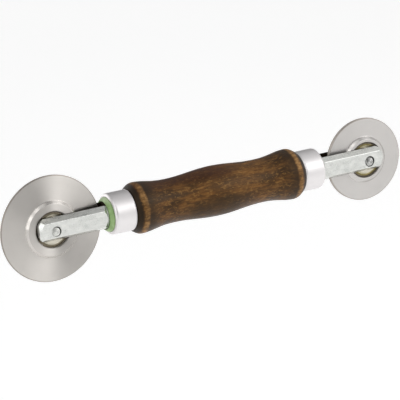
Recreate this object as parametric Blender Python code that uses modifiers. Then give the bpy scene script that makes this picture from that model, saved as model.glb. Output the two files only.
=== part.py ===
"""Double-ended seam roller: a turned hardwood grip with a ball-bearing steel wheel in a
slotted hexagonal fork at each end.

The grip lies along X, the axles lie along Y and +Z is up. The origin is the middle of the
grip, on its axis. The thin-edged wheel is at -X and the grooved wheel at +X.
"""
import math

import bmesh
import bpy
from mathutils import Matrix

# ---------------------------------------------------------------- driving dimensions (metres)
CLEARANCE = 0.0002           # left between two pieces that touch on the real tool
WELD = 0.000001              # merge distance, far below the smallest edge

# wooden grip, symmetric about its middle
SHOULDER_X = 0.0455          # where a ferrule meets the wood
END_BULGE_X = 0.0412
END_BULGE_RADIUS = 0.01230
WAIST_X = 0.0235
WAIST_RADIUS = 0.01050
FLARE = 1.3                  # above 1, the waist widens late towards the bulge
BELLY_RADIUS = 0.01205
SHOULDER_RADIUS = 0.0101
TENON_END_X = 0.0484
TENON_RADIUS = 0.0088
SHANK_BORE_RADIUS = 0.0042
SHANK_BORE_END_X = 0.030

# ferrules
FERRULE_RADIUS = 0.00985
FERRULE_BORE_RADIUS = 0.0090
FERRULE_MOUTH_X = 0.0568
FERRULE_LIP = 0.0014         # rounding of the mouth

# forks, slotted hexagonal bar
HEX_ACROSS_FLATS = 0.0130
SLOT_HALF_WIDTH = 0.00325
HEX_LENGTH = 0.0352
NOSE_BEYOND_AXLE = 0.0082
NOSE_FACE_RADIUS = 0.0057    # turned nose: where its cone meets the end face
NOSE_CONE_LENGTH = 0.0026
NOSE_CORNER_RADIUS = 0.0040  # rounding of the cheeks, seen along the axle
ROOT_FACE_RADIUS = 0.0062    # turned root, like the nose
ROOT_CONE_LENGTH = 0.0024
SLOT_LENGTH = 0.0358
AXLE_DROP = 0.0007           # the axle holes lie this far below the middle of the bar
NECK_RADIUS = 0.0064
NECK_LENGTH = 0.0067
SHANK_RADIUS = 0.0040
SHANK_LENGTH = 0.0190
PIN_HOLE_RADIUS = 0.0025

# green bushes, between a fork's neck and its ferrule
BUSH_RADIUS = 0.0083
BUSH_LENGTH = 0.0064
BUSH_TAPER_LENGTH = 0.0016
BUSH_FACE_RADIUS = 0.0071

# axle pins
PIN_RADIUS = 0.0023
PIN_HALF_LENGTH = 0.0071     # its riveted ends stand proud of the cheeks of the fork
PIN_CHAMFER = 0.0005

# wheels
BOSS_HALF_WIDTH = 0.0030
WHEEL_BORE_RADIUS = 0.0087
BORE_CHAMFER = 0.0003
THIN_AXLE_X = -0.0860
THIN_RADIUS = 0.0254
THIN_RIM_HALF_WIDTH = 0.00065
THIN_WEB_HALF_WIDTH = 0.0015  # beside the boss
THIN_BOSS_RADIUS = 0.0139
GROOVED_AXLE_X = 0.0836
GROOVED_RADIUS = 0.0204
GROOVED_RIM_HALF_WIDTH = 0.00095
GROOVE_HALF_WIDTH = 0.0006
GROOVE_DEPTH = 0.0004
GROOVED_WEB_HALF_WIDTH = 0.0012
GROOVED_BOSS_RADIUS = 0.0117

# ball bearings
BEARING_HALF_WIDTH = 0.0025
BEARING_RADIUS = 0.0085
RACE_BORE_RADIUS = 0.0025
PITCH_RADIUS = 0.00575
BALL_RADIUS = 0.0013
BALL_COUNT = 7
INNER_LAND_RADIUS = 0.0046
OUTER_LAND_RADIUS = 0.0069
RACEWAY_GAP = 0.00015
SHIELD_SEAT_RADIUS = 0.0079
SHIELD_BORE_RADIUS = 0.0049
SHIELD_THICKNESS = 0.0003
SHIELD_INSET = 0.00020       # below the side face of the outer race
CAGE_HALF_WIDTH = 0.00175
CAGE_THICKNESS = 0.0008
WASHER_RADIUS = 0.0064

OVERRUN = 0.002              # how far a cutter passes the faces that it cuts
ROUND_STEPS = 4              # segments in a short arc
GRIP_STEPS = 5               # segments in each swell of the grip
BALL_SEGMENTS, BALL_RINGS = 10, 6
POCKET_SIDES = 12
COARSE = 24                  # sides of the small turned pieces
MEDIUM = 32
FINE = 48
TO_X = Matrix(((0, 0, 1, 0), (1, 0, 0, 0), (0, 1, 0, 0), (0, 0, 0, 1)))


# ---------------------------------------------------------------- materials
def material(name, colour, roughness, metallic):
    """A plain Principled material."""
    mat = bpy.data.materials.new(name)
    mat.use_nodes = True
    shader = mat.node_tree.nodes["Principled BSDF"]
    shader.inputs["Base Color"].default_value = (*colour, 1.0)
    shader.inputs["Roughness"].default_value = roughness
    shader.inputs["Metallic"].default_value = metallic
    mat.diffuse_color = (*colour, 1.0)
    return mat


def make_materials():
    return {
        "stained_wood": material("stained_wood", (0.085, 0.043, 0.020), 0.38, 0.0),
        "ferrule_aluminium": material("ferrule_aluminium", (0.78, 0.78, 0.78), 0.30, 1.0),
        "zinc_steel": material("zinc_steel", (0.66, 0.69, 0.67), 0.32, 1.0),
        "turned_steel": material("turned_steel", (0.62, 0.60, 0.58), 0.30, 1.0),
        "bearing_steel": material("bearing_steel", (0.55, 0.54, 0.51), 0.20, 1.0),
        "shield_brass": material("shield_brass", (0.42, 0.34, 0.19), 0.40, 1.0),
        "green_plastic": material("green_plastic", (0.17, 0.36, 0.12), 0.50, 0.0),
    }


# ---------------------------------------------------------------- shape helpers
def ease(start, end, share):
    """A smooth step from start to end, level at both ends."""
    return start + (end - start) * (0.5 - 0.5 * math.cos(math.pi * share))


def arc(centre_r, centre_z, radius, start, end, steps):
    """Points on an arc in the (radius, height) plane, with angles in degrees from +radius."""
    points = []
    for step in range(steps + 1):
        angle = math.radians(start + (end - start) * step / steps)
        points.append((centre_r + radius * math.cos(angle), centre_z + radius * math.sin(angle)))
    return points


def mirrored(points):
    """The points followed by their mirror image below height 0, in the reverse order."""
    return points + [(r, -z) for r, z in reversed(points) if z > WELD]


def link(name, mesh, mat, collection):
    mesh.materials.append(mat)
    piece = bpy.data.objects.new(name, mesh)
    collection.objects.link(piece)
    return piece


def turned(name, profile, ring, sides, mat, collection):
    """A turned piece about its local Z: the profile runs down its outer side."""
    mesh = bpy.data.meshes.new(name)
    vertices = [(r, 0.0, z) for r, z in profile]
    edges = [(i, i + 1) for i in range(len(profile) - 1)]
    if ring:
        edges.append((len(profile) - 1, 0))
    mesh.from_pydata(vertices, edges, [])
    piece = link(name, mesh, mat, collection)
    screw = piece.modifiers.new("turn", "SCREW")
    screw.axis = "Z"
    screw.angle = math.tau
    screw.steps = sides
    screw.render_steps = sides
    screw.use_merge_vertices = True
    screw.merge_threshold = WELD
    screw.use_smooth_shade = True
    return piece


def solid(name, build, mat, collection):
    """An object whose mesh comes from a bmesh that build() fills."""
    mesh = bpy.data.meshes.new(name)
    bm = bmesh.new()
    build(bm)
    bm.to_mesh(mesh)
    bm.free()
    return link(name, mesh, mat, collection)


def box(size, centre):
    def build(bm):
        bmesh.ops.create_cube(bm, size=1.0, matrix=Matrix.Translation(centre) @ Matrix.Diagonal((*size, 1.0)))
    return build


def rod(radius, sides, start, end, to_axis=None):
    """A bar between two heights along local Z, or turned by to_axis first."""
    def build(bm):
        bmesh.ops.create_cone(bm, cap_ends=True, segments=sides, radius1=radius, radius2=radius,
                              depth=end - start)
        bmesh.ops.translate(bm, verts=bm.verts, vec=(0, 0, (start + end) / 2))
        if to_axis is not None:
            bmesh.ops.transform(bm, verts=bm.verts, matrix=to_axis)
    return build


def boolean(piece, operation, tool):
    """Cut or join piece with a tool object, which isn't part of the roller."""
    tool.hide_render = True
    tool.display_type = "WIRE"
    tool.parent = piece
    step = piece.modifiers.new(tool.name, "BOOLEAN")
    step.operation = operation
    step.solver = "EXACT"
    step.object = tool


# ---------------------------------------------------------------- grip and ferrules
def grip_profile():
    """The outer side of the grip from its +Z end to its middle."""
    points = [(0.0, SHANK_BORE_END_X), (SHANK_BORE_RADIUS, SHANK_BORE_END_X)]
    points += [(SHANK_BORE_RADIUS, TENON_END_X), (TENON_RADIUS, TENON_END_X)]
    points += [(TENON_RADIUS, SHOULDER_X)]
    # rounded end, from the ferrule up to the bulge
    for step in range(GRIP_STEPS + 1):
        share = step / GRIP_STEPS
        radius = SHOULDER_RADIUS + (END_BULGE_RADIUS - SHOULDER_RADIUS) * math.sin(math.pi / 2 * share)
        points.append((radius, SHOULDER_X + (END_BULGE_X - SHOULDER_X) * share))
    for step in range(1, GRIP_STEPS + 1):
        share = step / GRIP_STEPS
        radius = ease(WAIST_RADIUS, END_BULGE_RADIUS, (1 - share) ** FLARE)
        points.append((radius, END_BULGE_X + (WAIST_X - END_BULGE_X) * share))
    for step in range(1, GRIP_STEPS + 1):
        share = step / GRIP_STEPS
        points.append((ease(WAIST_RADIUS, BELLY_RADIUS, share), WAIST_X * (1 - share)))
    return points


def make_grip(mats, parts):
    grip = turned("handle_grip", mirrored(grip_profile()), False, MEDIUM, mats["stained_wood"], parts)
    grip.rotation_euler = (0, math.radians(90), 0)
    return grip


def make_ferrule(side, mats, parts):
    """A thin tube over the tenon, its mouth rolled inwards; its local Z points outwards."""
    lip_r = FERRULE_RADIUS - FERRULE_LIP
    roll_z = FERRULE_MOUTH_X - FERRULE_LIP
    profile = arc(lip_r, roll_z, FERRULE_LIP, 90, 0, ROUND_STEPS)
    profile += [(FERRULE_RADIUS, SHOULDER_X + CLEARANCE), (FERRULE_BORE_RADIUS, SHOULDER_X + CLEARANCE)]
    profile += [(FERRULE_BORE_RADIUS, roll_z), (lip_r + CLEARANCE / 2, FERRULE_MOUTH_X - FERRULE_LIP / 2)]
    ferrule = turned(side.name + "_ferrule", profile, True, MEDIUM, mats["ferrule_aluminium"], parts)
    ferrule.rotation_euler = (0, side.sign * math.radians(90), 0)
    return ferrule


# ---------------------------------------------------------------- forks, bushes and pins
def make_fork(side, mats, parts, cutters):
    """A hexagonal bar, slotted for the wheel, with both ends turned to cones and a round shank.

    It is modelled with the middle of the bar at the axle as its origin and its nose at local +X.
    """
    name = side.name + "_fork"
    hex_radius = HEX_ACROSS_FLATS / math.sqrt(3)
    root = NOSE_BEYOND_AXLE - HEX_LENGTH
    fork = solid(name, rod(hex_radius, 6, root - CLEARANCE, NOSE_BEYOND_AXLE + CLEARANCE, TO_X),
                 mats["zinc_steel"], parts)
    fork.location = (side.axle_x, 0, 0)
    fork.rotation_euler = (0, 0, 0 if side.sign > 0 else math.pi)

    swell = hex_radius + CLEARANCE
    envelope_profile = [(0, NOSE_BEYOND_AXLE), (NOSE_FACE_RADIUS, NOSE_BEYOND_AXLE)]
    envelope_profile += [(swell, NOSE_BEYOND_AXLE - NOSE_CONE_LENGTH), (swell, root + ROOT_CONE_LENGTH)]
    envelope_profile += [(ROOT_FACE_RADIUS, root), (0, root)]
    envelope = turned(name + "_envelope", envelope_profile, False, FINE, mats["zinc_steel"], cutters)
    envelope.rotation_euler = (0, math.radians(90), 0)
    boolean(fork, "INTERSECT", envelope)

    rounded = solid(name + "_rounding", cheek_rounding(), mats["zinc_steel"], cutters)
    boolean(fork, "INTERSECT", rounded)

    shank_end = root - NECK_LENGTH - SHANK_LENGTH
    neck_profile = [(0, root + CLEARANCE), (NECK_RADIUS, root + CLEARANCE), (NECK_RADIUS, root - NECK_LENGTH)]
    neck_profile += [(SHANK_RADIUS, root - NECK_LENGTH), (SHANK_RADIUS, shank_end), (0, shank_end)]
    neck = turned(name + "_neck", neck_profile, False, COARSE, mats["zinc_steel"], cutters)
    neck.rotation_euler = (0, math.radians(90), 0)
    boolean(fork, "UNION", neck)

    slot_size = (SLOT_LENGTH + OVERRUN, 2 * SLOT_HALF_WIDTH, 2 * HEX_ACROSS_FLATS)
    slot_centre = (NOSE_BEYOND_AXLE + (OVERRUN - SLOT_LENGTH) / 2, 0, 0)
    slot = solid(name + "_slot", box(slot_size, slot_centre), mats["zinc_steel"], cutters)
    boolean(fork, "DIFFERENCE", slot)

    reach = HEX_ACROSS_FLATS / 2 + OVERRUN
    hole = solid(name + "_hole", rod(PIN_HOLE_RADIUS, COARSE, -reach, reach), mats["zinc_steel"], cutters)
    hole.location = (0, 0, -AXLE_DROP)
    hole.rotation_euler = (math.radians(90), 0, 0)
    boolean(fork, "DIFFERENCE", hole)
    return fork


def cheek_rounding():
    """A slab across the fork whose nose corners are rounded where the slot leaves the cheeks."""
    slot_edge = (HEX_ACROSS_FLATS - SLOT_HALF_WIDTH) / math.sqrt(3)
    corner = arc(NOSE_BEYOND_AXLE - NOSE_CORNER_RADIUS, slot_edge - NOSE_CORNER_RADIUS, NOSE_CORNER_RADIUS,
                 0, 90, ROUND_STEPS)
    corner += [(corner[-1][0], HEX_ACROSS_FLATS), (-HEX_LENGTH, HEX_ACROSS_FLATS)]
    outline = [(x, -z) for x, z in reversed(corner)] + corner

    def build(bm):
        front = [bm.verts.new((x, -HEX_ACROSS_FLATS, z)) for x, z in outline]
        face = bm.faces.new(front)
        thick = bmesh.ops.extrude_face_region(bm, geom=[face])
        rear = [item for item in thick["geom"] if isinstance(item, bmesh.types.BMVert)]
        bmesh.ops.translate(bm, verts=rear, vec=(0, 2 * HEX_ACROSS_FLATS, 0))
        bmesh.ops.recalc_face_normals(bm, faces=bm.faces)
    return build


def make_bush(side, mats, parts):
    """A green sleeve that centres the neck of a fork in its ferrule, with a tapered front."""
    top = side.hex_end_x - CLEARANCE
    bore = NECK_RADIUS + CLEARANCE
    profile = [(bore, top), (BUSH_FACE_RADIUS, top), (BUSH_RADIUS, top - BUSH_TAPER_LENGTH)]
    profile += [(BUSH_RADIUS, top - BUSH_LENGTH), (bore, top - BUSH_LENGTH)]
    bush = turned(side.name + "_bush", profile, True, MEDIUM, mats["green_plastic"], parts)
    bush.rotation_euler = (0, side.sign * math.radians(90), 0)
    return bush


def make_axle_pin(side, mats, parts):
    top = PIN_HALF_LENGTH
    profile = mirrored([(0, top), (PIN_RADIUS - PIN_CHAMFER, top), (PIN_RADIUS, top - PIN_CHAMFER)])
    piece = turned(side.name + "_axle_pin", profile, False, COARSE, mats["bearing_steel"], parts)
    return on_axle(piece, side)


def on_axle(piece, side):
    """Put a piece that is turned about its local Z on the axle of its end."""
    piece.location = (side.axle_x, 0, -AXLE_DROP)
    piece.rotation_euler = (math.radians(90), 0, 0)
    return piece


# ---------------------------------------------------------------- wheels
def hub_profile(boss_radius, web_half_width):
    """From the bore over the boss down to where the web starts."""
    return [
        (WHEEL_BORE_RADIUS, BOSS_HALF_WIDTH - BORE_CHAMFER),
        (WHEEL_BORE_RADIUS + BORE_CHAMFER, BOSS_HALF_WIDTH),
        (boss_radius - BORE_CHAMFER, BOSS_HALF_WIDTH),
        (boss_radius, BOSS_HALF_WIDTH - BORE_CHAMFER),
        (boss_radius + BORE_CHAMFER, web_half_width),
    ]


def make_thin_wheel(side, mats, parts):
    """Two shallow cones that meet in a narrow rounded rim."""
    half = THIN_RIM_HALF_WIDTH
    profile = hub_profile(THIN_BOSS_RADIUS, THIN_WEB_HALF_WIDTH)
    profile += arc(THIN_RADIUS - half, 0, half, 90, 0, ROUND_STEPS)
    profile = mirrored(profile)
    piece = turned(side.name + "_wheel", profile, True, FINE, mats["turned_steel"], parts)
    return on_axle(piece, side)


def make_grooved_wheel(side, mats, parts):
    """A nearly flat disc whose rim has a round groove between two lips."""
    groove_radius = (GROOVE_HALF_WIDTH ** 2 + GROOVE_DEPTH ** 2) / (2 * GROOVE_DEPTH)
    sweep = math.degrees(math.asin(GROOVE_HALF_WIDTH / groove_radius))
    profile = hub_profile(GROOVED_BOSS_RADIUS, GROOVED_WEB_HALF_WIDTH)
    profile += [(GROOVED_RADIUS - BORE_CHAMFER, GROOVED_RIM_HALF_WIDTH)]
    profile += [(GROOVED_RADIUS, GROOVED_RIM_HALF_WIDTH - BORE_CHAMFER / 2)]
    centre_r = GROOVED_RADIUS - GROOVE_DEPTH + groove_radius
    profile += arc(centre_r, 0, groove_radius, 180 - sweep, 180, 3)
    profile = mirrored(profile)
    piece = turned(side.name + "_wheel", profile, True, FINE, mats["turned_steel"], parts)
    return on_axle(piece, side)


# ---------------------------------------------------------------- bearings
def raceway(land_radius, outward, steps=3):
    """Half of a raceway, from the land down to the middle of the groove."""
    groove = BALL_RADIUS + RACEWAY_GAP
    sweep = math.degrees(math.acos(abs(land_radius - PITCH_RADIUS) / groove))
    start, end = (sweep, 0) if outward else (180 - sweep, 180)
    return arc(PITCH_RADIUS, 0, groove, start, end, steps)


def make_outer_race(side, mats, parts):
    half = BEARING_HALF_WIDTH
    seat_floor = half - SHIELD_INSET - SHIELD_THICKNESS - CLEARANCE
    inner_side = [(SHIELD_SEAT_RADIUS + CLEARANCE, half), (SHIELD_SEAT_RADIUS + CLEARANCE, seat_floor)]
    inner_side += [(OUTER_LAND_RADIUS, seat_floor)] + raceway(OUTER_LAND_RADIUS, True)
    profile = mirrored(inner_side) + [(BEARING_RADIUS, -half), (BEARING_RADIUS, half)]
    profile.reverse()
    piece = turned(side.name + "_outer_race", profile, True, COARSE, mats["bearing_steel"], parts)
    return on_axle(piece, side)


def make_inner_race(side, mats, parts):
    half = BEARING_HALF_WIDTH
    outer_side = mirrored([(INNER_LAND_RADIUS, half)] + raceway(INNER_LAND_RADIUS, False))
    profile = outer_side + [(RACE_BORE_RADIUS, -half), (RACE_BORE_RADIUS, half)]
    piece = turned(side.name + "_inner_race", profile, True, COARSE, mats["bearing_steel"], parts)
    return on_axle(piece, side)


def make_flat_ring(name, side, bore, radius, low, high, mat, parts):
    """A flat ring across the axle, between two distances from the middle of the wheel."""
    profile = [(bore, high), (radius, high), (radius, low), (bore, low)]
    return on_axle(turned(name, profile, True, COARSE, mat, parts), side)


def make_shields_and_washers(side, mats, parts):
    """The front of the tool is its -Y side, which is local +Z of the pieces on the axle."""
    shield_top = BEARING_HALF_WIDTH - SHIELD_INSET
    shield_low = shield_top - SHIELD_THICKNESS
    washer_low = BEARING_HALF_WIDTH + CLEARANCE
    washer_top = SLOT_HALF_WIDTH - CLEARANCE
    for face, sign in (("front", 1), ("rear", -1)):
        low, high = sorted((sign * shield_low, sign * shield_top))
        make_flat_ring(f"{side.name}_{face}_shield", side, SHIELD_BORE_RADIUS, SHIELD_SEAT_RADIUS, low, high,
                       mats["shield_brass"], parts)
        low, high = sorted((sign * washer_low, sign * washer_top))
        make_flat_ring(f"{side.name}_{face}_washer", side, RACE_BORE_RADIUS, WASHER_RADIUS, low, high,
                       mats["zinc_steel"], parts)


def make_balls(side, mats, parts):
    """Balls that share one mesh, evenly spaced on the pitch circle."""
    mesh = bpy.data.meshes.new(side.name + "_ball")
    bm = bmesh.new()
    bmesh.ops.create_uvsphere(bm, u_segments=BALL_SEGMENTS, v_segments=BALL_RINGS, radius=BALL_RADIUS)
    bm.to_mesh(mesh)
    bm.free()
    mesh.materials.append(mats["bearing_steel"])
    mesh.shade_smooth()
    for index in range(BALL_COUNT):
        angle = math.tau * index / BALL_COUNT
        ball = bpy.data.objects.new(f"{side.name}_ball_{index + 1}", mesh)
        across, up = PITCH_RADIUS * math.cos(angle), PITCH_RADIUS * math.sin(angle)
        ball.location = (side.axle_x + across, 0, up - AXLE_DROP)
        parts.objects.link(ball)


def make_cage(side, mats, parts, cutters):
    """A ribbon ring with one round pocket for each ball."""
    inner = PITCH_RADIUS - CAGE_THICKNESS / 2
    outer = PITCH_RADIUS + CAGE_THICKNESS / 2
    profile = [(inner, CAGE_HALF_WIDTH), (outer, CAGE_HALF_WIDTH)]
    profile += [(outer, -CAGE_HALF_WIDTH), (inner, -CAGE_HALF_WIDTH)]
    cage = turned(side.name + "_ball_cage", profile, True, BALL_COUNT * 4, mats["shield_brass"], parts)
    on_axle(cage, side)
    for index in range(BALL_COUNT):
        # local Z of the cage is world -Y, so a world angle about Y is the same angle about local Z
        turn = Matrix.Rotation(math.tau * index / BALL_COUNT, 4, "Z") @ TO_X
        drill = rod(BALL_RADIUS + CLEARANCE, POCKET_SIDES, inner - CLEARANCE, outer + CLEARANCE, turn)
        pocket = solid(f"{cage.name}_pocket_{index + 1}", drill, mats["shield_brass"], cutters)
        boolean(cage, "DIFFERENCE", pocket)
    return cage


# ---------------------------------------------------------------- assembly
class End:
    """One end of the tool: sign is the direction of its nose along X."""

    def __init__(self, name, sign, axle_x):
        self.name = name
        self.sign = sign
        self.axle_x = axle_x
        # where the hexagon ends: the bush sits against it, so the deeper fork has the deeper bush
        self.hex_end_x = abs(axle_x) + NOSE_BEYOND_AXLE - HEX_LENGTH


def main():
    for old in list(bpy.data.objects):
        bpy.data.objects.remove(old, do_unlink=True)
    parts = bpy.data.collections.new("seam_roller")
    cutters = bpy.data.collections.new("cutters")
    bpy.context.scene.collection.children.link(parts)
    bpy.context.scene.collection.children.link(cutters)
    mats = make_materials()
    make_grip(mats, parts)
    left = End("left", -1, THIN_AXLE_X)
    right = End("right", 1, GROOVED_AXLE_X)
    for side in (left, right):
        make_ferrule(side, mats, parts)
        make_fork(side, mats, parts, cutters)
        make_bush(side, mats, parts)
        make_axle_pin(side, mats, parts)
        make_outer_race(side, mats, parts)
        make_inner_race(side, mats, parts)
        make_shields_and_washers(side, mats, parts)
        make_cage(side, mats, parts, cutters)
        make_balls(side, mats, parts)
    make_thin_wheel(left, mats, parts)
    make_grooved_wheel(right, mats, parts)
    bpy.context.view_layer.update()


main()
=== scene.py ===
"""Looks of the double-ended seam roller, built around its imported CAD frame.

Every visible CAD node is replaced by a finer piece on the same dimensions, and every piece
gets a procedural material. The grip lies along X, the axles along Y, and the front is -Y.
"""
import math

import bmesh
import bpy
from mathutils import Matrix, Vector, noise


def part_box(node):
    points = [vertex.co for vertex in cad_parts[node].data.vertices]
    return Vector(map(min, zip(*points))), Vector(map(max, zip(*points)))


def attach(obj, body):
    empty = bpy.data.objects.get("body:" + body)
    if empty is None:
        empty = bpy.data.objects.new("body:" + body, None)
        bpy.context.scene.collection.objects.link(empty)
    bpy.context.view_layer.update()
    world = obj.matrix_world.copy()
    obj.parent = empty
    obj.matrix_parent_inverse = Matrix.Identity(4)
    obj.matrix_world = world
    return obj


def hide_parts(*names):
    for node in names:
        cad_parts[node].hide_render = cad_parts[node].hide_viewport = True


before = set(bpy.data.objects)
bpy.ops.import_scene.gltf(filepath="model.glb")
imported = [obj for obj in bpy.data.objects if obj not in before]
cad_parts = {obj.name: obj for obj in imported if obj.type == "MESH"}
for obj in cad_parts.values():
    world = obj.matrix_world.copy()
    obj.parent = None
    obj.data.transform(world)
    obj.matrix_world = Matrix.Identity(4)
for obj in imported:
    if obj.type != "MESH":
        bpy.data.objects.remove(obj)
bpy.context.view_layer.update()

MM = 0.001
AXLE_TURN = (math.radians(90), 0.0, 0.0)      # local Z of a turned piece becomes -Y, the front

# sides of the turned pieces
GRIP_SIDES = 192
WHEEL_SIDES = 256
FERRULE_SIDES = 192
SMALL_SIDES = 96
PIN_SIDES = 64
COARSE_SIDES = 48

# grip and ferrules
SHOULDER = 45.5 * MM                          # where a ferrule meets the wood
GRIP_STEPS = 150                              # rings along the grip's outline
GOLD_RING = 41.7 * MM                         # where the stain is rubbed off near each end
GOLD_RING_HALF = 1.3 * MM
FERRULE_LIP = 1.4 * MM
FERRULE_WALL = 0.85 * MM
BUSH_WALL = 1.7 * MM
BUSH_FACE_INSET = 1.2 * MM
BUSH_TAPER = 1.6 * MM

# forks
SLOT = 3.25 * MM                              # half the width of a fork's slot
SLOT_LENGTH = 35.8 * MM
HEX_LENGTH = 35.2 * MM
NOSE_RADIUS = 4.0 * MM                        # rounding of a fork's cheeks, seen along the axle
NOSE_FACE = 5.7 * MM                          # radius where the turned nose meets its end face
NOSE_CONE = 2.6 * MM                          # length of the turned nose
ROOT_FACE = 6.2 * MM
ROOT_CONE = 2.4 * MM
NECK = 6.4 * MM                               # radius of the neck in the green bush
NECK_LENGTH = 6.7 * MM
SHANK = 4.0 * MM                              # radius of the shank in the wood
PIN_HOLE = {"left": (2.36 * MM, 0.06 * MM), "right": (2.5 * MM, 0.15 * MM)}   # radius, chamfer

# wheels
WHEEL_BORE = 8.7 * MM
BOSS_CHAMFER = 1.1 * MM
THIN_BOSS = 13.5 * MM
THIN_WEB = 1.5 * MM                           # half the thickness beside the boss
THIN_RIM = 0.65 * MM                          # half the thickness at the rim
THIN_TREAD = 25.0 * MM                        # radius where the painted dark reflection on the rim starts
GROOVED_BOSS = 11.4 * MM
GROOVED_WEB = 1.2 * MM
GROOVED_LIP = 0.95 * MM
GROOVED_TREAD = 20.1 * MM
GROOVE_HALF = 0.6 * MM
GROOVE_DEPTH = 0.4 * MM

# outer races
RACE_SEAT = 8.1 * MM                          # radius of the step that holds a shield
RACE_FLOOR = 1.8 * MM                         # half the width between the two steps
RACE_LAND = 6.9 * MM
RACEWAY = 1.45 * MM                           # radius of the ball groove's section
PITCH = 5.75 * MM                             # radius of the circle of balls
BALLS = 7

# view: from the left end, a little above, through a long lens
CAMERA_PLACE = (-0.5524, -1.0512, 0.3401)
VIEW_RIGHT = (0.8753, -0.4779, -0.0743)
VIEW_FORWARD = (0.4419, 0.8528, -0.2784)
SENSOR_WIDTH = 36.0
LENS = 234.0
FLOOR_HEIGHT = -0.42


# ---------------------------------------------------------------- sizes read from the frame
def centre(node):
    low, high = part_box(node)
    return (low + high) / 2


def half(node, axis):
    low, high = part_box(node)
    return (high[axis] - low[axis]) / 2


def stations(node):
    """A CAD node's outline about the X axis, as (place, radius) pairs in order."""
    rings = {}
    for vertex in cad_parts[node].data.vertices:
        place = round(vertex.co.x / MM, 2)
        radius = math.hypot(vertex.co.y, vertex.co.z)
        rings[place] = max(rings.get(place, 0.0), radius)
    return sorted((place * MM, radius) for place, radius in rings.items())


def bore_radius(node, axle):
    """The smallest distance of a CAD node's surface from the axle."""
    offsets = [vertex.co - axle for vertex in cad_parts[node].data.vertices]
    return min(math.hypot(offset.x, offset.z) for offset in offsets)


# ---------------------------------------------------------------- mesh helpers
def link(name, mesh, mat):
    piece = bpy.data.objects.new(name, mesh)
    bpy.context.scene.collection.objects.link(piece)
    mesh.materials.append(mat)
    return piece


def soften(points, radius, steps=3, closed=True):
    """Round every real corner of an outline with a short curve."""
    rounded = []
    count = len(points)
    for i, point in enumerate(points):
        if not closed and i in (0, count - 1):
            rounded.append(point)
            continue
        here = Vector(point)
        before, after = Vector(points[i - 1]) - here, Vector(points[(i + 1) % count]) - here
        turn = math.pi - before.angle(after)
        if turn < math.radians(12):
            rounded.append(point)
            continue
        cut = min(radius * math.tan(turn / 2), 0.45 * before.length, 0.45 * after.length)
        start, end = here + before.normalized() * cut, here + after.normalized() * cut
        for k in range(steps + 1):
            t = k / steps
            rounded.append(tuple(start * (1 - t) ** 2 + here * 2 * t * (1 - t) + end * t ** 2))
    return rounded


def arc(centre_r, centre_z, radius, start, end, steps):
    """Points on an arc in the (radius, height) plane, with angles in degrees from +radius."""
    angles = [math.radians(start + (end - start) * k / steps) for k in range(steps + 1)]
    return [(centre_r + radius * math.cos(a), centre_z + radius * math.sin(a)) for a in angles]


def hold_straights(outline, closed):
    """Add a point close to both ends of each long straight, so that it shades straight."""
    held = []
    for i, point in enumerate(outline):
        held.append(point)
        if i == len(outline) - 1 and not closed:
            continue
        here, there = Vector(point), Vector(outline[(i + 1) % len(outline)])
        length = (there - here).length
        if length > 0.8 * MM:
            inset = 0.12 * MM / length
            held += [tuple(here.lerp(there, inset)), tuple(here.lerp(there, 1 - inset))]
    return held


def lathe(name, outline, sides, mat, closed=True):
    """Turn an outline of (radius, height) points about local Z. It runs down the outer side."""
    bm = bmesh.new()
    rings = []
    for radius, height in hold_straights(outline, closed):
        if radius < 1e-7:
            rings.append([bm.verts.new((0, 0, height))])
            continue
        ring = []
        for k in range(sides):
            angle = math.tau * k / sides
            ring.append(bm.verts.new((radius * math.cos(angle), radius * math.sin(angle), height)))
        rings.append(ring)
    pairs = list(zip(rings, rings[1:]))
    if closed:
        pairs.append((rings[-1], rings[0]))
    for upper, lower in pairs:
        for k in range(sides):
            m = (k + 1) % sides
            if len(upper) == 1:
                corners = (upper[0], lower[k], lower[m])
            elif len(lower) == 1:
                corners = (upper[k], lower[0], upper[m])
            else:
                corners = (upper[k], lower[k], lower[m], upper[m])
            bm.faces.new(corners)
    mesh = bpy.data.meshes.new(name)
    bm.to_mesh(mesh)
    bm.free()
    mesh.shade_smooth()
    mesh.set_sharp_from_angle(angle=math.radians(42))
    return link(name, mesh, mat)


def both_sides(points):
    """An outline followed by its mirror image below height 0."""
    return points + [(r, -z) for r, z in reversed(points) if z > 1e-9]


def cut(piece, tool, operation="DIFFERENCE"):
    """Apply one exact Boolean to piece and remove the tool."""
    step = piece.modifiers.new("cut", "BOOLEAN")
    step.operation = operation
    step.object = tool
    bpy.context.view_layer.update()
    graph = bpy.context.evaluated_depsgraph_get()
    result = bpy.data.meshes.new_from_object(piece.evaluated_get(graph))
    piece.modifiers.clear()
    old = piece.data
    piece.data = result
    bpy.data.meshes.remove(old)
    bpy.data.objects.remove(tool)


def prism(name, outline, axis_low, axis_high, mat):
    """A bar along X whose section is an outline of (y, z) points, counter-clockwise from +X."""
    bm = bmesh.new()
    low = [bm.verts.new((axis_low, y, z)) for y, z in outline]
    high = [bm.verts.new((axis_high, y, z)) for y, z in outline]
    count = len(outline)
    for k in range(count):
        m = (k + 1) % count
        bm.faces.new((low[k], low[m], high[m], high[k]))
    bm.faces.new(list(reversed(low)))
    bm.faces.new(high)
    mesh = bpy.data.meshes.new(name)
    bm.to_mesh(mesh)
    bm.free()
    return link(name, mesh, mat)


def place_on_axle(piece, axle):
    piece.location = axle
    piece.rotation_euler = AXLE_TURN


def finish_piece(piece, body, slot, *nodes):
    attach(piece, body)
    if nodes:
        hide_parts(*nodes)


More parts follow.
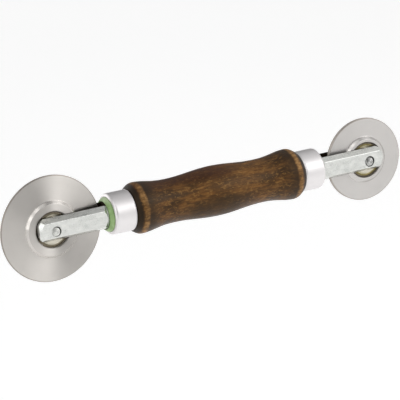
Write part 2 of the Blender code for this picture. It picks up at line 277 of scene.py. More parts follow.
# ---------------------------------------------------------------- material helpers
class Shader:
    """A Principled material and short ways to build the nodes that feed it.

    The inputs are plain values of the shader's own sockets.
    """

    def __init__(self, name, **inputs):
        self.material = bpy.data.materials.new(name)
        self.material.use_nodes = True
        self.tree = self.material.node_tree
        self.shader = self.tree.nodes["Principled BSDF"]
        for key, value in inputs.items():
            self.shader.inputs[key.replace("_", " ")].default_value = value
        self.place = self.node("ShaderNodeTexCoord").outputs["Object"]

    def node(self, kind, **settings):
        made = self.tree.nodes.new(kind)
        for key, value in settings.items():
            setattr(made, key, value)
        return made

    def feed(self, socket, value):
        if isinstance(value, bpy.types.NodeSocket):
            self.tree.links.new(value, socket)
        else:
            socket.default_value = value

    def set(self, name, value):
        self.feed(self.shader.inputs[name], value)

    def scaled(self, scale, vector=None):
        """The place on the piece, stretched by scale along each local axis."""
        made = self.node("ShaderNodeMapping")
        self.feed(made.inputs["Vector"], vector or self.place)
        made.inputs["Scale"].default_value = scale
        return made.outputs["Vector"]

    def noise(self, vector, detail=3.0, roughness=0.55):
        """Noise of scale 1, so that the vector's own scale sets the size of its lumps."""
        made = self.node("ShaderNodeTexNoise")
        self.feed(made.inputs["Vector"], vector)
        made.inputs["Scale"].default_value = 1.0
        made.inputs["Detail"].default_value = detail
        made.inputs["Roughness"].default_value = roughness
        return made.outputs["Fac"]

    def line_noise(self, value, detail):
        """Noise along one number only, for rings and lines."""
        made = self.node("ShaderNodeTexNoise", noise_dimensions="1D")
        self.feed(made.inputs["W"], value)
        made.inputs["Scale"].default_value = 1.0
        made.inputs["Detail"].default_value = detail
        return made.outputs["Fac"]

    def math(self, operation, first, second=0.0):
        made = self.node("ShaderNodeMath", operation=operation)
        self.feed(made.inputs[0], first)
        self.feed(made.inputs[1], second)
        return made.outputs[0]

    def remap(self, value, low, high, to_low=0.0, to_high=1.0):
        """A smooth step from to_low to to_high while the value goes from low to high."""
        made = self.node("ShaderNodeMapRange", interpolation_type="SMOOTHSTEP")
        self.feed(made.inputs["Value"], value)
        for key, number in (("From Min", low), ("From Max", high), ("To Min", to_low), ("To Max", to_high)):
            made.inputs[key].default_value = number
        return made.outputs["Result"]

    def mix(self, factor, first, second):
        made = self.node("ShaderNodeMix", data_type="RGBA")
        self.feed(made.inputs["Factor"], factor)
        self.feed(made.inputs["A"], first)
        self.feed(made.inputs["B"], second)
        return made.outputs["Result"]

    def ramp(self, value, *stops):
        made = self.node("ShaderNodeValToRGB")
        self.feed(made.inputs["Fac"], value)
        ramp = made.color_ramp
        while len(ramp.elements) < len(stops):
            ramp.elements.new(0.5)
        for element, (position, colour) in zip(ramp.elements, stops):
            element.position = position
            element.color = (*colour, 1.0)
        return made.outputs["Color"]

    def split(self):
        """The local X, Y and Z of the place on the piece."""
        made = self.node("ShaderNodeSeparateXYZ")
        self.feed(made.inputs[0], self.place)
        return made.outputs["X"], made.outputs["Y"], made.outputs["Z"]

    def join(self, x, y, z):
        made = self.node("ShaderNodeCombineXYZ")
        for socket, value in zip(made.inputs, (x, y, z)):
            self.feed(socket, value)
        return made.outputs[0]

    def radius(self, shift=0.0):
        """Distance from local Z, or from a line beside it, shifted towards -X."""
        x, y, _ = self.split()
        made = self.node("ShaderNodeVectorMath", operation="LENGTH")
        self.feed(made.inputs[0], self.join(self.math("ADD", x, shift), y, 0.0))
        return made.outputs["Value"]

    def bump(self, height, strength, distance, normal=None):
        made = self.node("ShaderNodeBump")
        made.inputs["Strength"].default_value = strength
        made.inputs["Distance"].default_value = distance
        self.feed(made.inputs["Height"], height)
        if normal is not None:
            self.feed(made.inputs["Normal"], normal)
        return made.outputs["Normal"]


def colour(red, green, blue):
    """A linear colour from 0 to 255 screen values."""
    def linear(value):
        v = value / 255
        return v / 12.92 if v <= 0.04045 else ((v + 0.055) / 1.055) ** 2.4
    return (linear(red), linear(green), linear(blue))


def rgba(red, green, blue):
    return (*colour(red, green, blue), 1.0)


# ---------------------------------------------------------------- materials
def stained_wood(ring, half_width):
    """Dark stain that took unevenly: olive brown flecks, amber patches, near black in the pores.

    Local Z runs along the grip. The stain is rubbed to gold in one ring on the rounding near
    each end, and scorched beyond it.
    """
    s = Shader("stained_wood", Roughness=0.44, IOR=1.34, Specular_IOR_Level=0.50,
               Specular_Tint=(1.0, 0.78, 0.56, 1.0))
    x, y, z = s.split()
    warp = s.noise(s.scaled((60, 60, 22)), detail=2.0)
    grain_place = s.join(s.math("ADD", x, s.math("MULTIPLY", warp, 0.004)), y, z)
    mottle = s.noise(s.scaled((230, 230, 95), grain_place), detail=4.0, roughness=0.64)
    blotch = s.noise(s.scaled((75, 75, 38)), detail=2.0, roughness=0.5)
    streak = s.noise(s.scaled((1300, 1300, 80), grain_place), detail=4.0, roughness=0.6)
    fleck = s.noise(s.scaled((1100, 1100, 520)), detail=3.0, roughness=0.65)
    pores = s.remap(s.noise(s.scaled((4200, 4200, 300), grain_place), detail=2.0), 0.58, 0.72)

    base = s.ramp(
        mottle,
        (0.32, colour(40, 25, 12)),
        (0.45, colour(67, 43, 20)),
        (0.57, colour(103, 68, 32)),
        (0.72, colour(142, 100, 52)),
    )
    amber = s.math("MULTIPLY", s.remap(z, -0.030, 0.010, 0.1, 0.5), s.remap(warp, 0.40, 0.60, 0.4, 1.0))
    amber = s.math("MULTIPLY", amber, s.remap(z, 0.014, 0.030, 1.0, 0.25))
    base = s.mix(amber, base, rgba(116, 77, 34))
    base = s.mix(s.remap(z, 0.020, 0.033, 0.0, 0.38), base, rgba(50, 35, 21))
    base = s.mix(s.remap(blotch, 0.44, 0.62, 0.0, 0.60), base, rgba(42, 27, 15))
    base = s.mix(s.remap(streak, 0.35, 0.60, 0.50, 0.0), base, rgba(32, 20, 11))
    base = s.mix(s.remap(fleck, 0.52, 0.66, 0.0, 0.55), base, rgba(140, 102, 54))

    # painted shade: the lower front side of the grip is darkened over its middle
    under = s.math("SUBTRACT", s.math("MULTIPLY", x, 0.75), s.math("MULTIPLY", y, 0.65))
    under = s.math("ADD", under, s.math("MULTIPLY", s.math("SUBTRACT", warp, 0.5), 0.006))
    underside_shade = s.math("MULTIPLY", s.remap(under, 0.0050, 0.0105, 0.0, 0.70),
                       s.math("MULTIPLY", s.remap(z, -0.030, -0.014), s.remap(z, 0.002, 0.018, 1.0, 0.0)))
    base = s.mix(underside_shade, base, rgba(36, 25, 13))
    red_zone = s.math("MULTIPLY", s.remap(x, -0.0105, -0.0070, 0.65, 0.0), s.remap(z, 0.0, 0.016, 1.0, 0.0))
    base = s.mix(red_zone, base, rgba(56, 26, 15))

    wander = s.math("MULTIPLY", s.noise(s.scaled((260, 260, 120))), 0.0012)
    edge = s.math("ADD", s.math("ABSOLUTE", z), wander)
    edge = s.math("SUBTRACT", edge, 0.0006)
    band = s.math("MULTIPLY",
                  s.remap(edge, ring - half_width - 0.0007, ring - half_width + 0.0009, 0.0, 1.0),
                  s.remap(edge, ring + half_width - 0.0009, ring + half_width + 0.0007, 1.0, 0.0))
    inner_band = s.math("MULTIPLY",
                        s.remap(edge, ring - 0.0095, ring - half_width - 0.0012, 0.0, 0.75),
                        s.remap(edge, ring - half_width - 0.0006, ring - half_width + 0.0006, 1.0, 0.0))
    base = s.mix(inner_band, base, rgba(38, 28, 20))
    gold = s.ramp(fleck, (0.32, colour(98, 68, 38)), (0.62, colour(166, 126, 78)))
    patchy = s.remap(s.noise(s.scaled((170, 170, 60)), detail=2.0), 0.34, 0.60, 0.30, 0.85)
    base = s.mix(s.math("MULTIPLY", band, patchy), base, gold)
    scorch = s.remap(edge, ring + half_width - 0.0002, ring + half_width + 0.0010, 0.0, 0.94)
    base = s.mix(scorch, base, rgba(22, 16, 12))
    base = s.mix(s.math("MULTIPLY", pores, 0.6), base, rgba(24, 17, 12))
    s.set("Base Color", base)

    rough = s.remap(mottle, 0.3, 0.7, 0.37, 0.50)
    rough = s.math("ADD", rough, s.math("MULTIPLY", pores, 0.2))
    s.set("Roughness", rough)
    normal = s.bump(streak, 0.25, 0.00012)
    normal = s.bump(s.math("SUBTRACT", 1.0, pores), 0.35, 0.00008, normal)
    normal = s.bump(blotch, 0.15, 0.0006, normal)
    s.set("Normal", normal)
    return s.material


def turned_metal(name, tone, roughness, anisotropic, ring_scale, ring_depth, tint, tread=None, boss=None):
    """Metal turned about local Z: fine rings, and a highlight stretched across them.

    Beyond the radius tread the surface is painted darker: a painted dark reflection on the rim.
    The chamfer that ends at the radius boss is polished.
    """
    s = Shader(name, Metallic=1.0, Roughness=roughness, Anisotropic=anisotropic, Anisotropic_Rotation=0.25)
    radius = s.radius()
    _, _, z = s.split()
    along = s.math("ADD", radius, s.math("MULTIPLY", z, 1.7))
    rings = s.line_noise(s.math("MULTIPLY", along, ring_scale), detail=4.0)
    smear = s.noise(s.scaled((160, 160, 160)), detail=4.0)
    dark = tuple(channel * (1 - 2.2 * tint) for channel in tone)
    light = tuple(min(1.0, channel * (1 + tint)) for channel in tone)
    base = s.ramp(rings, (0.28, dark), (0.50, tone), (0.72, light))
    smeared = tuple(channel * 0.8 for channel in tone)
    base = s.mix(s.remap(smear, 0.45, 0.75, 0.0, 0.14), base, (*smeared, 1.0))
    # painted dark reflection: beyond the radius tread the rim is darkened
    if tread is not None:
        rim_dark_reflection = s.remap(radius, tread - 0.2 * MM, tread + 0.1 * MM, 0.0, 0.60)
        base = s.mix(rim_dark_reflection, base, rgba(140, 128, 116))
    s.set("Base Color", base)
    rough = s.math("ADD", s.remap(rings, 0.3, 0.7, roughness - 0.03, roughness + 0.04),
                   s.math("MULTIPLY", smear, 0.05))
    if boss is not None:
        start = boss - BOSS_CHAMFER
        polished = s.math("MULTIPLY", s.remap(radius, start - 0.1 * MM, start + 0.1 * MM),
                          s.remap(radius, boss + 0.1 * MM, boss + 0.3 * MM, 1.0, 0.0))
        rough = s.math("SUBTRACT", rough, s.math("MULTIPLY", polished, roughness - 0.20))
    s.set("Roughness", rough)
    tangent = s.node("ShaderNodeTangent", direction_type="RADIAL", axis="Z")
    s.set("Tangent", tangent.outputs["Tangent"])
    s.set("Normal", s.bump(rings, 0.2, ring_depth))
    return s.material


def zinc_steel():
    """Bright zinc over cold-drawn hexagonal bar: faint draw lines and small pits; painted shade on the slot
    walls.
    """
    s = Shader("zinc_steel", Metallic=1.0, Roughness=0.30)
    draw = s.noise(s.scaled((60, 2600, 2600)), detail=3.0)
    cloud = s.noise(s.scaled((260, 420, 420)), detail=4.0, roughness=0.6)
    pits = s.remap(s.noise(s.scaled((1500, 1500, 1500)), detail=2.0), 0.60, 0.74)
    base = s.ramp(cloud, (0.30, colour(203, 205, 201)), (0.52, colour(217, 218, 214)),
                  (0.72, colour(230, 230, 226)))
    base = s.mix(s.remap(draw, 0.40, 0.64, 0.16, 0.0), base, rgba(188, 191, 186))
    base = s.mix(s.math("MULTIPLY", pits, 0.30), base, rgba(160, 162, 156))
    _, y, _ = s.split()
    # painted shade: the walls inside the slot are darkened to a dark brown
    slot_wall_shade = s.remap(s.math("ABSOLUTE", y), SLOT + 0.00010, SLOT + 0.00025, 1.0, 0.0)
    base = s.mix(slot_wall_shade, base, rgba(56, 46, 34))
    s.set("Base Color", base)
    rough = s.math("ADD", s.remap(cloud, 0.3, 0.7, 0.24, 0.36), s.math("MULTIPLY", pits, 0.15))
    s.set("Roughness", s.math("ADD", rough, s.math("MULTIPLY", slot_wall_shade, 0.35)))
    normal = s.bump(draw, 0.20, 0.00004)
    normal = s.bump(s.math("SUBTRACT", 1.0, pits), 0.30, 0.00006, normal)
    normal = s.bump(cloud, 0.20, 0.00025, normal)
    s.set("Normal", normal)
    return s.material


def peened_steel(name, hollow, middle, crest):
    """The hammered end of a pin: small facets and hollows, with a painted shade crescent on its +X side."""
    s = Shader(name, Metallic=1.0, Roughness=0.38)
    dents = s.noise(s.scaled((1100, 1100, 1100)), detail=3.0, roughness=0.6)
    fine = s.noise(s.scaled((3600, 3600, 3600)), detail=2.0)
    base = s.ramp(dents, (0.34, colour(*hollow)), (0.50, colour(*middle)), (0.66, colour(*crest)))
    # painted shade: a near-black crescent on the +X side of the pin's end
    crescent_shade = s.remap(s.radius(shift=0.65 * MM), 2.00 * MM, 2.24 * MM, 0.0, 0.97)
    base = s.mix(crescent_shade, base, rgba(14, 12, 10))
    s.set("Base Color", base)
    s.set("Roughness", s.remap(fine, 0.3, 0.7, 0.30, 0.48))
    s.set("Normal", s.bump(dents, 0.7, 0.0003, s.bump(fine, 0.3, 0.00008)))
    return s.material


def polished_steel(name, tone):
    """Ground races, balls and cages under a thin film of oil."""
    s = Shader(name, Metallic=1.0, Roughness=0.18)
    film = s.noise(s.scaled((500, 500, 500)), detail=3.0)
    dark = tuple(channel * 0.82 for channel in tone)
    s.set("Base Color", s.ramp(film, (0.3, colour(*dark)), (0.7, colour(*tone))))
    s.set("Roughness", s.remap(film, 0.3, 0.7, 0.12, 0.26))
    s.set("Normal", s.bump(s.noise(s.scaled((2600, 2600, 2600))), 0.1, 0.00002))
    return s.material


def shield_brass(name, shaded_rim_tone, face_tone):
    """A pressed yellow shield, pale in the middle, with painted shade darkening it towards its rim."""
    s = Shader(name, Metallic=1.0, Roughness=0.36)
    radius = s.radius()
    stain = s.noise(s.scaled((420, 420, 420)), detail=4.0, roughness=0.65)
    dull = tuple(channel * 0.82 for channel in face_tone)
    face = s.ramp(stain, (0.32, colour(*dull)), (0.60, colour(*face_tone)))
    # painted shade: past a radius of about 7 mm the shield is darker, as in the recess by the bore
    dull = tuple(channel * 0.72 for channel in shaded_rim_tone)
    rim = s.ramp(stain, (0.34, colour(*dull)), (0.62, colour(*shaded_rim_tone)))
    base = s.mix(s.remap(radius, 0.0069, 0.0073), face, rim)
    rings = s.line_noise(s.math("MULTIPLY", radius, 5200.0), detail=2.0)
    base = s.mix(s.remap(rings, 0.50, 0.62, 0.0, 0.3), base, rgba(96, 86, 62))
    s.set("Base Color", base)
    s.set("Roughness", s.remap(stain, 0.3, 0.7, 0.30, 0.46))
    s.set("Normal", s.bump(rings, 0.3, 0.00004))
    return s.material


def green_plastic():
    """Moulded green sleeve, slightly uneven, with a painted highlight paling its top and bottom."""
    s = Shader("green_plastic", Roughness=0.50, Specular_IOR_Level=0.4)
    x, _, _ = s.split()
    cloud = s.noise(s.scaled((330, 330, 330)), detail=4.0, roughness=0.6)
    fine = s.noise(s.scaled((1900, 1900, 1900)), detail=2.0)
    base = s.ramp(cloud, (0.30, colour(118, 150, 90)), (0.50, colour(137, 167, 109)),
                  (0.72, colour(157, 183, 131)))
    base = s.mix(s.remap(fine, 0.55, 0.72, 0.0, 0.35), base, rgba(108, 138, 84))
    # painted highlight: the sleeve pales towards its top and bottom
    height = s.math("ABSOLUTE", x)
    base = s.mix(s.remap(height, 0.0050, 0.0085, 0.0, 0.45), base, rgba(206, 214, 190))
    s.set("Base Color", base)
    s.set("Roughness", s.remap(fine, 0.3, 0.7, 0.42, 0.60))
    s.set("Normal", s.bump(cloud, 0.4, 0.0003, s.bump(fine, 0.25, 0.00006)))
    return s.material


# ---------------------------------------------------------------- pieces
def make_grip(mat):
    """The grip on its CAD outline, with a smooth curve through the turned waists and belly."""
    node = "handle_grip"
    rings = stations(node)
    tenon_radius = max(radius for place, radius in rings if place > SHOULDER + MM)
    end = half(node, 0) - 0.2 * MM
    body = [(place, radius) for place, radius in rings if radius > tenon_radius + 0.5 * MM]
    places = [place for place, _ in body]
    radii = [radius for _, radius in body]
    outline = [(0.0, end), (tenon_radius, end), (tenon_radius, SHOULDER)]
    for k in range(GRIP_STEPS + 1):
        place = SHOULDER - 2 * SHOULDER * k / GRIP_STEPS
        outline.append((smooth_through(places, radii, place), place))
    outline += [(tenon_radius, -SHOULDER), (tenon_radius, -end), (0.0, -end)]
    grip = lathe(node + "_fine", outline, GRIP_SIDES, mat, closed=False)
    grip.rotation_euler = (0, math.radians(90), 0)
    finish_piece(grip, "grip", "stained_wood", node)


def smooth_through(places, values, place):
    """A monotone-safe cubic through the points (places, values), read at one place."""
    last = len(places) - 1
    k = min(max(sum(1 for p in places if p <= place) - 1, 0), last - 1)
    width = places[k + 1] - places[k]
    t = min(max((place - places[k]) / width, 0.0), 1.0)

    def slope(i):
        if i in (0, last):
            j = 0 if i == 0 else last - 1
            return (values[j + 1] - values[j]) / (places[j + 1] - places[j])
        left = (values[i] - values[i - 1]) / (places[i] - places[i - 1])
        right = (values[i + 1] - values[i]) / (places[i + 1] - places[i])
        return 0.0 if left * right <= 0 else 2 * left * right / (left + right)

    a, b = values[k], values[k + 1]
    return ((2 * t ** 3 - 3 * t ** 2 + 1) * a + (t ** 3 - 2 * t ** 2 + t) * width * slope(k)
            + (3 * t ** 2 - 2 * t ** 3) * b + (t ** 3 - t ** 2) * width * slope(k + 1))


class End:
    """One end of the tool. sign is the direction of its nose along X."""

    def __init__(self, name, sign):
        self.name = name
        self.sign = sign
        self.axle = centre(name + "_axle_pin")
        self.roller = name + "_roller"
        self.ball_set = name + "_ball_set"

    def node(self, piece):
        return f"{self.name}_{piece}"


def along_grip(piece, end):
    """Point a turned piece's local Z at the end's nose."""
    piece.rotation_euler = (0, end.sign * math.radians(90), 0)


def make_ferrule(end, mat):
    """A tube with a rolled mouth and a shallow groove beside the wood."""
    node = end.node("ferrule")
    low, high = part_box(node)
    outer = half(node, 2)
    base, mouth = sorted((abs(low.x), abs(high.x)))
    bore = outer - FERRULE_WALL
    lip = FERRULE_LIP
    groove = outer - 0.12 * MM
    outline = arc(outer - lip, mouth - lip, lip, 90, 0, 10)
    outline += [(outer, base + 0.9 * MM), (groove, base + 0.75 * MM), (groove, base + 0.55 * MM),
                (outer, base + 0.40 * MM), (outer - 0.25 * MM, base), (bore, base),
                (bore, mouth - lip), (outer - lip + 0.1 * MM, mouth - lip / 2)]
    ferrule = lathe(node + "_fine", outline, FERRULE_SIDES, mat)
    along_grip(ferrule, end)
    finish_piece(ferrule, "grip", "ferrule_aluminium", node)


def make_bush(end, mat):
    """A tapered sleeve whose moulded face is a little uneven."""
    node = end.node("bush")
    low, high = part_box(node)
    outer = half(node, 2)
    back, top = sorted((abs(low.x), abs(high.x)))
    bore = outer - BUSH_WALL
    outline = [(bore, top), (outer - BUSH_FACE_INSET, top), (outer, top - BUSH_TAPER), (outer, back),
               (bore, back)]
    outline = soften(outline, 0.35 * MM, steps=5)
    bush = lathe(node + "_fine", outline, SMALL_SIDES, mat)
    for vertex in bush.data.vertices:
        lump = noise.noise(vertex.co * 420.0) * 0.07 * MM
        if vertex.co.z > top - 2.2 * MM:
            vertex.co.z += min(lump, 0.0)
    along_grip(bush, end)
    finish_piece(bush, "grip", "green_plastic", node)


def turned_bar(name, flat, root, nose, mat):
    """A hexagonal bar along X, from root to nose, with both ends turned to cones."""
    corner = 2 * flat / math.sqrt(3)
    angles = [math.radians(60 * k) for k in range(6)]
    hexagon = [(-corner * math.sin(angle), corner * math.cos(angle)) for angle in angles]
    hexagon = soften(hexagon, 0.45 * MM, steps=3)
    bar = prism(name, hexagon, root - 1 * MM, nose + 1 * MM, mat)

    swell = corner + 0.2 * MM
    outline = [(0, nose), (NOSE_FACE, nose), (swell, nose - NOSE_CONE), (swell, root + ROOT_CONE),
               (ROOT_FACE, root), (0, root)]
    outline = soften(outline, 0.5 * MM, closed=False)
    envelope = lathe("envelope", outline, SMALL_SIDES, mat, closed=False)
    envelope.rotation_euler = (0, math.radians(90), 0)
    cut(bar, envelope, "INTERSECT")
    return bar


def round_cheeks(fork, flat, nose, mat):
    """Round the corners of the nose, as seen along the axle."""
    slot_edge = (2 * flat - SLOT) / math.sqrt(3)
    outline = arc(nose - NOSE_RADIUS, slot_edge - NOSE_RADIUS, NOSE_RADIUS, 0, 90, 10)
    outline += [(outline[-1][0], 2 * flat), (-40 * MM, 2 * flat)]
    outline = [(x, -z) for x, z in reversed(outline)] + outline
    slab = prism("slab", [(-x, z) for x, z in reversed(outline)], -2 * flat, 2 * flat, mat)
    slab.rotation_euler = (0, 0, math.radians(90))
    cut(fork, slab, "INTERSECT")


def add_shank(fork, root, shank_end, mat):
    """Join the neck and the shank to the root of the bar."""
    neck_start, neck_end = root + 0.3 * MM, root - NECK_LENGTH
    outline = [(0, neck_start), (NECK, neck_start), (NECK, neck_end), (SHANK, neck_end),
               (SHANK, shank_end), (0, shank_end)]
    tail = lathe("tail", outline, COARSE_SIDES, mat, closed=False)
    tail.rotation_euler = (0, math.radians(90), 0)
    cut(fork, tail, "UNION")


def drill_cheeks(fork, end, flat, mat):
    """Drill the axle's hole through both cheeks, with a chamfer at each end."""
    hole, rim = PIN_HOLE[end.name]
    outline = [(0, flat + rim), (hole + 2 * rim, flat + rim), (hole, flat - rim), (hole, -flat + rim),
               (hole + 2 * rim, -flat - rim), (0, -flat - rim)]
    drill = lathe("drill", outline, COARSE_SIDES, mat, closed=False)
    drill.location = (0, 0, end.axle.z)
    drill.rotation_euler = AXLE_TURN
    cut(fork, drill)


def break_edges(piece):
    """Bevel the sharp edges narrowly and keep the flats flat in the light."""
    bevel = piece.modifiers.new("edges", "BEVEL")
    bevel.width = 0.14 * MM
    bevel.segments = 2
    bevel.limit_method = "ANGLE"
    bevel.angle_limit = math.radians(32)
    bevel.use_clamp_overlap = True
    piece.data.shade_smooth()
    piece.data.set_sharp_from_angle(angle=math.radians(32))
    normals = piece.modifiers.new("normals", "WEIGHTED_NORMAL")
    normals.keep_sharp = True


def make_fork(end, mat):
    """The slotted hexagonal bar. It is made with its nose at +X, then turned to its end."""
    node = end.node("fork")
    low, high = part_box(node)
    flat = half(node, 1)
    nose = max(abs(low.x), abs(high.x)) - abs(end.axle.x)
    root = nose - HEX_LENGTH
    shank_end = nose - (high.x - low.x)

    fork = turned_bar(node + "_fine", flat, root, nose, mat)
    round_cheeks(fork, flat, nose, mat)
    add_shank(fork, root, shank_end, mat)
    reach = 20 * MM
    slot_section = [(-SLOT, -reach), (SLOT, -reach), (SLOT, reach), (-SLOT, reach)]
    cut(fork, prism("slot", slot_section, nose - SLOT_LENGTH, nose + 2 * MM, mat))
    drill_cheeks(fork, end, flat, mat)
    break_edges(fork)

    fork.location = (end.axle.x, 0, 0)
    fork.rotation_euler = (0, 0, 0 if end.sign > 0 else math.pi)
    finish_piece(fork, "grip", "zinc_steel", node)


def make_axle_pin(end, mat):
    """A riveted pin: its hammered ends are low domes that stand proud of the cheeks."""
    node = end.node("axle_pin")
    radius, top = half(node, 0), half(node, 1)
    shares = (0.0, 0.25, 0.5, 0.65, 0.78, 0.88, 0.95)
    face = [(radius * share, top - 0.45 * MM * share ** 4) for share in shares]
    outline = both_sides(face + [(radius, top - 0.60 * MM)])
    pin = lathe(node + "_fine", outline, PIN_SIDES, mat, closed=False)
    place_on_axle(pin, end.axle)
    finish_piece(pin, "grip", "bearing_steel", node)


def hub(boss_radius, boss_half, web_half):
    """The outline of a wheel's hub, from the bore over the raised boss to the web."""
    return [(WHEEL_BORE, boss_half - 0.45 * MM), (WHEEL_BORE + 0.35 * MM, boss_half - 0.05 * MM),
            (WHEEL_BORE + 0.9 * MM, boss_half), (boss_radius - BOSS_CHAMFER, boss_half),
            (boss_radius, boss_half - BOSS_CHAMFER), (boss_radius, web_half + 0.2 * MM),
            (boss_radius + 0.3 * MM, web_half)]


def make_wheel(end, mat, outline):
    node = end.node("wheel")
    wheel = lathe(node + "_fine", outline, WHEEL_SIDES, mat)
    place_on_axle(wheel, end.axle)
    finish_piece(wheel, end.roller, "turned_steel", node)


def thin_outline(end):
    """Two shallow cones that meet in a narrow rounded rim."""
    node = end.node("wheel")
    radius, boss_half = half(node, 0), half(node, 1)
    points = hub(THIN_BOSS, boss_half, THIN_WEB) + [(radius - THIN_RIM, THIN_RIM)]
    points = soften(points, 0.25 * MM, closed=False)
    return both_sides(points[:-1] + arc(radius - THIN_RIM, 0, THIN_RIM, 86, 0, 8))


def grooved_outline(end):
    """A nearly flat disc whose rim carries a round groove between two rounded lips."""
    node = end.node("wheel")
    radius, boss_half = half(node, 0), half(node, 1)
    groove = (GROOVE_HALF ** 2 + GROOVE_DEPTH ** 2) / (2 * GROOVE_DEPTH)
    sweep = math.degrees(math.asin(GROOVE_HALF / groove))
    points = hub(GROOVED_BOSS, boss_half, GROOVED_WEB)
    points += [(radius - 0.2 * MM, GROOVED_LIP), (radius, GROOVED_LIP - 0.15 * MM), (radius, GROOVE_HALF)]
    points = soften(points, 0.15 * MM, closed=False)
    points += arc(radius - GROOVE_DEPTH + groove, 0, groove, 180 - sweep, 180, 8)[1:]
    return both_sides(points)


def ring_outline(bore, outer, low, high, edge):
    return soften([(bore, high), (outer, high), (outer, low), (bore, low)], edge, steps=3)


def make_ring(end, piece_name, mat, slot, body, edge):
    """A flat ring across the axle, on the box of its CAD node."""
    node = end.node(piece_name)
    low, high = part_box(node)
    outer = half(node, 0)
    bore = bore_radius(node, end.axle)
    front, rear = -low.y + end.axle.y, -high.y + end.axle.y
    ring = lathe(node + "_fine", ring_outline(bore, outer, rear, front, edge), SMALL_SIDES, mat)
    place_on_axle(ring, end.axle)
    finish_piece(ring, body, slot, node)


def make_outer_race(end, mat):
    """A ring with a ball groove inside and a step on each side for a shield."""
    node = end.node("outer_race")
    outer, side = half(node, 0), half(node, 1)
    points = [(outer - 0.2 * MM, side), (RACE_SEAT, side), (RACE_SEAT, RACE_FLOOR), (RACE_LAND, RACE_FLOOR)]
    sweep = math.degrees(math.acos((RACE_LAND - PITCH) / RACEWAY))
    points += arc(PITCH, 0, RACEWAY, sweep, 0, 8)
    points = both_sides(points)
    outline = points + [(outer, -side + 0.2 * MM), (outer, side - 0.2 * MM)]
    outline.reverse()
    race = lathe(node + "_fine", outline, SMALL_SIDES, mat)
    place_on_axle(race, end.axle)
    finish_piece(race, end.roller, "bearing_steel", node)


def make_balls(end, mat):
    for index in range(1, BALLS + 1):
        node = end.node(f"ball_{index}")
        bm = bmesh.new()
        bmesh.ops.create_uvsphere(bm, u_segments=28, v_segments=16, radius=half(node, 1))
        mesh = bpy.data.meshes.new(node + "_fine")
        bm.to_mesh(mesh)
        bm.free()
        mesh.shade_smooth()
        ball = link(node + "_fine", mesh, mat)
        ball.location = centre(node)
        finish_piece(ball, end.ball_set, "bearing_steel", node)


def repaint(node, mat):
    """Give a carried-over CAD node a detailed material."""
    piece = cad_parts[node]
    piece.data.materials.clear()
    piece.data.materials.append(mat)


def make_end(end, mats, wheel_outline):
    make_ferrule(end, mats["ferrule"])
    make_bush(end, mats["green"])
    make_fork(end, mats["zinc"])
    make_axle_pin(end, mats["pin_" + end.name])
    make_wheel(end, mats["wheel_" + end.name], wheel_outline(end))
    make_outer_race(end, mats["race"])
    make_balls(end, mats["bearing"])
    for face in ("front", "rear"):
        make_ring(end, face + "_shield", mats["shield_" + end.name], "shield_brass", end.roller, 0.1 * MM)
        make_ring(end, face + "_washer", mats["washer"], "zinc_steel", "grip", 0.12 * MM)
    repaint(end.node("inner_race"), mats["bearing"])
    repaint(end.node("ball_cage"), mats["shield_" + end.name])


# ---------------------------------------------------------------- studio
def make_floor():
    bm = bmesh.new()
    bmesh.ops.create_circle(bm, cap_ends=True, segments=96, radius=14.0)
    mesh = bpy.data.meshes.new("floor")
    bm.to_mesh(mesh)
    bm.free()
    s = Shader("floor_white", Roughness=0.9, Specular_IOR_Level=0.0, Emission_Strength=0.30)
    s.shader.inputs["Emission Color"].default_value = (1.0, 1.0, 1.0, 1.0)
    s.set("Base Color", s.ramp(s.noise(s.scaled((0.7, 0.7, 0.7)), detail=1.0),
                               (0.3, (0.93, 0.93, 0.93)), (0.7, (0.96, 0.96, 0.96))))
    floor = link("floor", mesh, s.material)
    floor.location = (0, 0, FLOOR_HEIGHT)


def make_light(name, place, aim, size, power):
    light = bpy.data.lights.new(name, "AREA")
    light.shape = "RECTANGLE"
    light.size, light.size_y = size
    light.energy = power
    lamp = bpy.data.objects.new(name, light)
    bpy.context.scene.collection.objects.link(lamp)
    lamp.location = place
    lamp.rotation_euler = (Vector(aim) - Vector(place)).to_track_quat("-Z", "Y").to_euler()


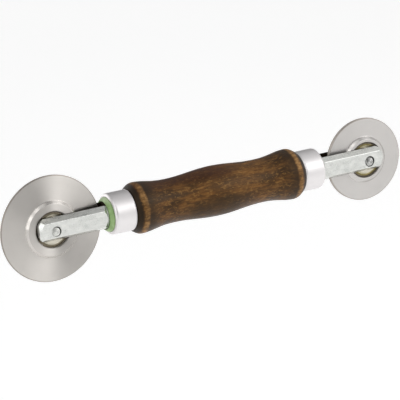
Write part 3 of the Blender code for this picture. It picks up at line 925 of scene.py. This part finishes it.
def make_world():
    """A pale studio: darker overhead, in front and behind, with soft glows that the metal shows."""
    world = bpy.data.worlds.new("studio")
    bpy.context.scene.world = world
    world.use_nodes = True
    tree = world.node_tree

    def node(kind, **settings):
        made = tree.nodes.new(kind)
        for key, value in settings.items():
            setattr(made, key, value)
        return made

    place = node("ShaderNodeTexCoord").outputs["Generated"]

    def towards(direction, *stops):
        """Brightness that follows how close a ray runs to one direction."""
        dot = node("ShaderNodeVectorMath", operation="DOT_PRODUCT")
        tree.links.new(place, dot.inputs[0])
        dot.inputs[1].default_value = Vector(direction).normalized()
        ramp = node("ShaderNodeValToRGB")
        ramp.color_ramp.interpolation = "EASE"
        tree.links.new(dot.outputs["Value"], ramp.inputs["Fac"])
        for element, (position, level) in zip(ramp.color_ramp.elements, stops):
            element.position = position
            element.color = (level, level, level, 1.0)
        return ramp.outputs["Color"]

    def combine(operation, first, second):
        made = node("ShaderNodeVectorMath", operation=operation)
        tree.links.new(first, made.inputs[0])
        tree.links.new(second, made.inputs[1])
        return made.outputs["Vector"]

    height = towards((0, 0, 1), (0.06, 1.0), (0.62, 0.42))
    shade = towards((-0.30, -0.92, 0.25), (0.66, 1.0), (0.92, 0.12))
    glow = towards((0.76, -0.51, 0.40), (0.80, 0.0), (0.97, 0.35))
    left_glow = towards((-0.55, -0.48, 0.68), (0.88, 0.0), (0.97, 0.9))
    side_glow = towards((-0.82, -0.50, 0.27), (0.88, 0.0), (0.98, 1.1))
    top_glow = towards((-0.15, -0.46, 0.875), (0.90, 0.0), (0.985, 0.6))
    rear_shade = towards((0.44, 0.80, 0.40), (0.78, 1.0), (0.96, 0.35))
    rear_glow = towards((-0.46, 0.85, 0.24), (0.80, 0.0), (0.97, 1.0))
    level = combine("MULTIPLY", combine("MULTIPLY", height, shade), rear_shade)
    for extra in (glow, side_glow, left_glow, top_glow, rear_glow):
        level = combine("ADD", level, extra)
    tree.links.new(level, tree.nodes["Background"].inputs["Color"])
    tree.nodes["Background"].inputs["Strength"].default_value = 1.0


def make_camera():
    data = bpy.data.cameras.new("camera")
    data.sensor_width = SENSOR_WIDTH
    data.lens = LENS
    data.clip_start, data.clip_end = 0.01, 60.0
    camera = bpy.data.objects.new("camera", data)
    bpy.context.scene.collection.objects.link(camera)
    right, forward = Vector(VIEW_RIGHT), Vector(VIEW_FORWARD)
    up = right.cross(forward)
    turn = Matrix((right, up, -forward)).transposed()
    camera.matrix_world = Matrix.Translation(CAMERA_PLACE) @ turn.to_4x4()
    bpy.context.scene.camera = camera


def make_materials():
    return {
        "ferrule": turned_metal("ferrule_aluminium", colour(227, 224, 224), roughness=0.44,
                                anisotropic=0.10, ring_scale=9000.0, ring_depth=0.004 * MM, tint=0.01),
        "wheel_left": turned_metal("turned_steel", colour(207, 203, 198), roughness=0.46,
                                   anisotropic=0.92, ring_scale=7000.0, ring_depth=0.004 * MM, tint=0.02,
                                   tread=THIN_TREAD, boss=THIN_BOSS),
        "wheel_right": turned_metal("turned_steel_fine", colour(200, 197, 194), roughness=0.42,
                                    anisotropic=0.12, ring_scale=9000.0, ring_depth=0.004 * MM, tint=0.02,
                                    tread=GROOVED_TREAD, boss=GROOVED_BOSS),
        "washer": turned_metal("washer_steel", colour(206, 200, 186), roughness=0.30,
                               anisotropic=0.4, ring_scale=8000.0, ring_depth=0.01 * MM, tint=0.03),
        "zinc": zinc_steel(),
        "pin_left": peened_steel("pressed_pin", (176, 176, 172), (202, 203, 198), (226, 226, 222)),
        "pin_right": peened_steel("peened_pin", (104, 104, 102), (168, 168, 165), (222, 222, 220)),
        "bearing": polished_steel("bearing_steel", (176, 172, 162)),
        # painted shade: the outer race gets a darker, browner copy of the bearing steel, for its face
        # recessed in the bore
        "race": polished_steel("race_steel_shaded", (140, 130, 114)),
        # each shield's first tone is its rim, darkened as painted shade
        "shield_left": shield_brass("shield_steel", (132, 124, 106), (222, 217, 200)),
        "shield_right": shield_brass("shield_brass", (150, 138, 92), (210, 204, 176)),
        "green": green_plastic(),
    }


def main():
    bpy.context.scene.view_settings.view_transform = "Standard"
    mats = make_materials()
    make_grip(stained_wood(GOLD_RING, GOLD_RING_HALF))
    make_end(End("left", -1), mats, thin_outline)
    make_end(End("right", 1), mats, grooved_outline)
    make_floor()
    make_world()
    make_light("overhead", (0.61, 0.10, 0.70), (0.61, 0.10, 0.0), (0.60, 1.50), 1.1)
    make_light("key", (0.68, -0.80, 0.56), (0, 0, 0), (0.80, 0.60), 3.4)
    make_camera()


main()
